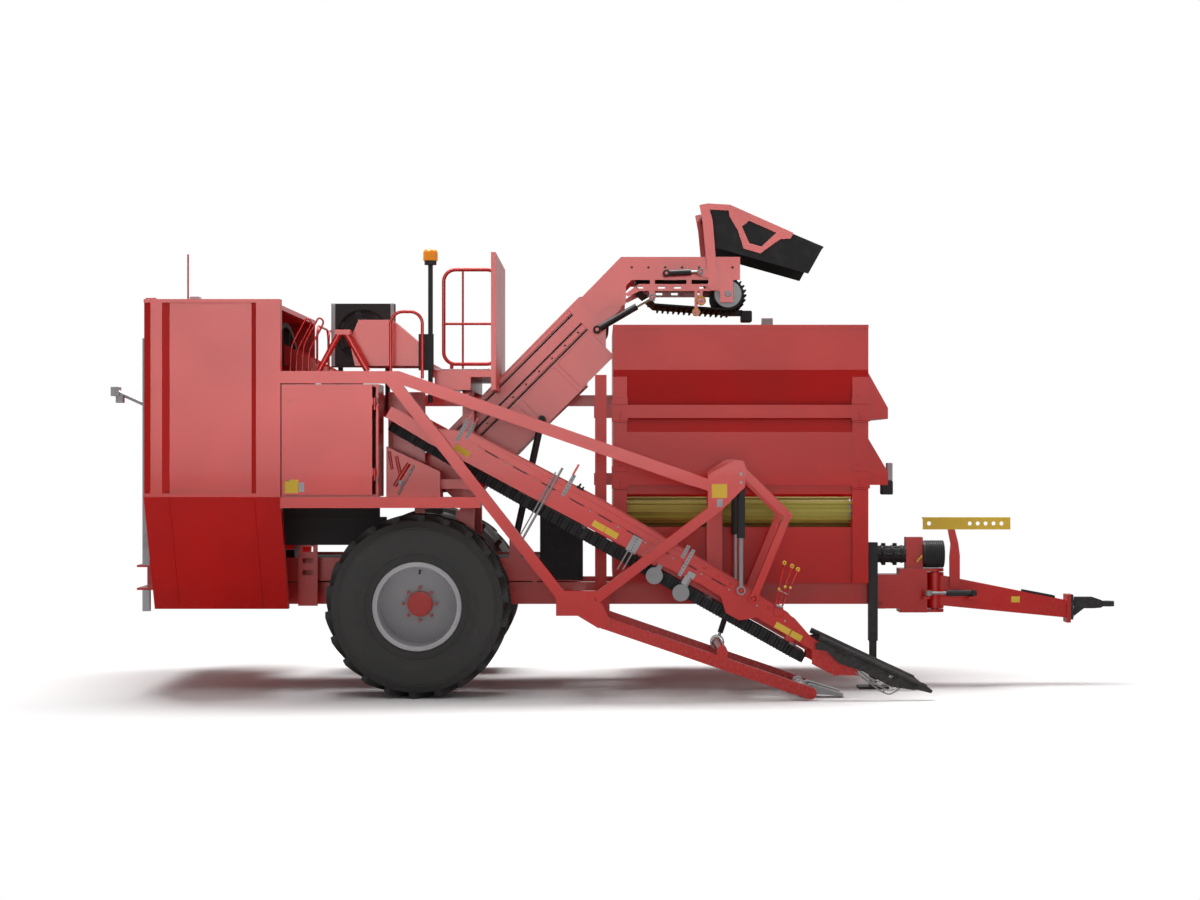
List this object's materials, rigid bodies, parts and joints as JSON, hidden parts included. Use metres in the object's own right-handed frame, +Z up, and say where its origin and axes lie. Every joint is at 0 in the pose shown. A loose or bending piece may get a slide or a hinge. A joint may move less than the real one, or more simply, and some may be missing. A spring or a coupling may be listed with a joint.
{
  "type": "trailed root crop harvester",
  "caption": "Trailed side-lifting root crop harvester with ring elevator, discharge elevator, bunker, swinging drawbar and parking jack.",
  "frame": {"origin": "on the ground, midway along its length and width", "axes": "+X the way it is towed, +Y its left side, +Z up"},
  "size_m": [8.9, 3, 4.212],
  "materials": {
    "red_paint": "satin signal red paint",
    "black_rubber": "matt black belt rubber",
    "tyre_rubber": "matt tyre rubber",
    "grey_rim": "light grey enamel",
    "black_paint": "satin black paint",
    "steel_rod": "bright ground steel",
    "grey_metal": "dull galvanised grey",
    "yellow_steel": "worn olive yellow paint",
    "ochre_plate": "ochre zinc finish",
    "amber_lens": "clear amber plastic"
  },
  "bodies": {
    "chassis": {"beacon_lens": "amber_lens", "beacon_mast": "black_paint", "bunker": "red_paint", "cabinet": "red_paint", "cleaning_web": "black_rubber", "elevator_strut": "black_paint", "elevator_trough": "red_paint", "elevator_web": "black_rubber", "feeder": "red_paint", "floor_conveyor": "yellow_steel", "hand_rails": "red_paint", "jack_tube": "black_paint", "main_frame": "red_paint", "oil_cooler": "black_paint", "platform_deck": "red_paint", "pto_line": "black_paint", "rear_bumper": "red_paint", "rear_posts": "grey_metal", "ring_elevator": "black_rubber", "ring_tower": "red_paint", "rubber_flap": "black_rubber", "side_truss": "red_paint", "splash_panel": "black_paint", "topper_hood": "red_paint", "topping_unit": "red_paint", "upper_frame": "red_paint"},
    "wheel_right": {"tyre_right": "tyre_rubber", "rim_right": "grey_rim", "hub_right": "red_paint"},
    "wheel_left": {"tyre_left": "tyre_rubber", "rim_left": "grey_rim", "hub_left": "red_paint"},
    "drawbar": {"drawbar_beam": "red_paint", "tow_eye": "black_paint", "hose_rack": "ochre_plate", "rack_post": "red_paint"},
    "steer_barrel": {"steer_barrel": "black_paint"},
    "steer_rod": {"steer_rod": "steel_rod"},
    "lifter": {"lifter_frame": "red_paint", "lifter_belts": "black_rubber", "lifter_rollers": "steel_rod", "crop_dividers": "black_paint"},
    "lift_barrels": {"lift_barrels": "black_paint"},
    "lift_rods": {"lift_rods": "steel_rod"},
    "guide_arms": {"guide_arms": "red_paint"},
    "guide_rods": {"guide_rods": "red_paint"},
    "share": {"share_arms": "red_paint", "share_blades": "steel_rod"},
    "strut_barrel": {"strut_barrel": "black_paint"},
    "strut_rod": {"strut_rod": "steel_rod"},
    "boom": {"boom_trough": "red_paint", "boom_web": "black_rubber"},
    "boom_barrel": {"boom_barrel": "black_paint"},
    "boom_rod": {"boom_rod": "steel_rod"},
    "spout": {"spout_arms": "red_paint", "spout_hood": "black_rubber"},
    "spout_barrel": {"spout_barrel": "black_paint"},
    "spout_rod": {"spout_rod": "steel_rod"},
    "door": {"cabinet_door": "red_paint"},
    "jack": {"jack_leg": "black_paint"}
  },
  "joints": [
    {"name": "wheel_right_spin", "type": "hinge", "parent": "chassis", "child": "wheel_right", "pos_m": [-1.635, -1.05, 0.762], "axis": [0, 1, 0], "continuous": true},
    {"name": "wheel_left_spin", "type": "hinge", "parent": "chassis", "child": "wheel_left", "pos_m": [-1.635, 1.05, 0.762], "axis": [0, 1, 0], "continuous": true},
    {"name": "drawbar_swing", "type": "hinge", "parent": "chassis", "child": "drawbar", "pos_m": [2.86, 0, 0.8], "axis": [0, 0, 1], "range_deg": [-15, 15]},
    {"name": "steer_barrel_pivot", "type": "hinge", "parent": "drawbar", "child": "steer_barrel", "pos_m": [3.162, -0.23, 0.805], "axis": [0, 0, 1], "range_deg": [-4, 4]},
    {"name": "steer_rod_slide", "type": "slide", "parent": "steer_barrel", "child": "steer_rod", "axis": [-1, 0, 0], "range_m": [-0.062, 0.062]},
    {"name": "lifter_lift", "type": "hinge", "parent": "chassis", "child": "lifter", "pos_m": [-1.43, -1.04, 2.168], "axis": [0, -1, 0], "range_deg": [0, 6]},
    {"name": "lift_barrel_pivot", "type": "hinge", "parent": "chassis", "child": "lift_barrels", "pos_m": [1.043, -1.04, 1.79], "axis": [0, -1, 0], "range_deg": [-0.5, 12]},
    {"name": "lift_rod_slide", "type": "slide", "parent": "lift_barrels", "child": "lift_rods", "axis": [0, 0, -1], "range_m": [-0.26, 0.005]},
    {"name": "guide_arm_pivot", "type": "hinge", "parent": "chassis", "child": "guide_arms", "pos_m": [1.043, -1.04, 1.9], "axis": [0, -1, 0], "range_deg": [-0.5, 34]},
    {"name": "guide_rod_pivot", "type": "hinge", "parent": "guide_arms", "child": "guide_rods", "pos_m": [1.427, -1.04, 1.524], "axis": [0, -1, 0], "range_deg": [-36, 0.5]},
    {"name": "share_pivot", "type": "hinge", "parent": "chassis", "child": "share", "pos_m": [-0.084, -1.025, 0.64], "axis": [0, -1, 0], "range_deg": [-0.5, 12.5]},
    {"name": "strut_barrel_pivot", "type": "hinge", "parent": "lifter", "child": "strut_barrel", "pos_m": [0.981, -0.664, 0.699], "axis": [0, -1, 0], "range_deg": [-20, 0.5]},
    {"name": "strut_rod_slide", "type": "slide", "parent": "strut_barrel", "child": "strut_rod", "axis": [-0.3102, 0, -0.9507], "range_m": [-0.005, 0.1]},
    {"name": "boom_fold", "type": "hinge", "parent": "chassis", "child": "boom", "pos_m": [0.032, 0.07, 3.371], "axis": [0, -1, 0], "range_deg": [0, 20]},
    {"name": "boom_barrel_pivot", "type": "hinge", "parent": "chassis", "child": "boom_barrel", "pos_m": [-0.143, -0.407, 3.109], "axis": [0, -1, 0], "range_deg": [-0.5, 10.5]},
    {"name": "boom_rod_slide", "type": "slide", "parent": "boom_barrel", "child": "boom_rod", "axis": [0.8638, 0, 0.5039], "range_m": [-0.002, 0.042]},
    {"name": "spout_tilt", "type": "hinge", "parent": "boom", "child": "spout", "pos_m": [0.87, 0.07, 3.5], "axis": [0, 1, 0], "range_deg": [0, 25]},
    {"name": "spout_barrel_pivot", "type": "hinge", "parent": "boom", "child": "spout_barrel", "pos_m": [0.46, -0.407, 3.599], "axis": [0, 1, 0], "range_deg": [-6.5, 0.5]},
    {"name": "spout_rod_slide", "type": "slide", "parent": "spout_barrel", "child": "spout_rod", "axis": [0.999, 0, 0.0437], "range_m": [-0.002, 0.065]},
    {"name": "door_open", "type": "hinge", "parent": "chassis", "child": "door", "pos_m": [-1.968, -1.487, 2.143], "axis": [0, 0, 1], "range_deg": [0, 110]},
    {"name": "jack_slide", "type": "slide", "parent": "chassis", "child": "jack", "axis": [0, 0, 1], "range_m": [0, 0.35]}
  ],
  "couplings": [
    {"joint": "steer_barrel_pivot", "follows": "drawbar_swing", "ratio": -0.23},
    {"joint": "steer_rod_slide", "follows": "drawbar_swing", "m_per_rad": 0.2286},
    {"joint": "lift_barrel_pivot", "follows": "lifter_lift", "ratio": 1.7185},
    {"joint": "lift_rod_slide", "follows": "lifter_lift", "m_per_rad": -2.4334},
    {"joint": "guide_arm_pivot", "follows": "lifter_lift", "ratio": 5.498},
    {"joint": "guide_rod_pivot", "follows": "lifter_lift", "ratio": -5.907},
    {"joint": "share_pivot", "follows": "lifter_lift", "ratio": 2},
    {"joint": "strut_barrel_pivot", "follows": "lifter_lift", "ratio": -3.32},
    {"joint": "strut_rod_slide", "follows": "lifter_lift", "m_per_rad": 0.8976},
    {"joint": "boom_barrel_pivot", "follows": "boom_fold", "ratio": 0.4911},
    {"joint": "boom_rod_slide", "follows": "boom_fold", "m_per_rad": 0.1175},
    {"joint": "spout_barrel_pivot", "follows": "spout_tilt", "ratio": -0.2433},
    {"joint": "spout_rod_slide", "follows": "spout_tilt", "m_per_rad": 0.1364}
  ]
}
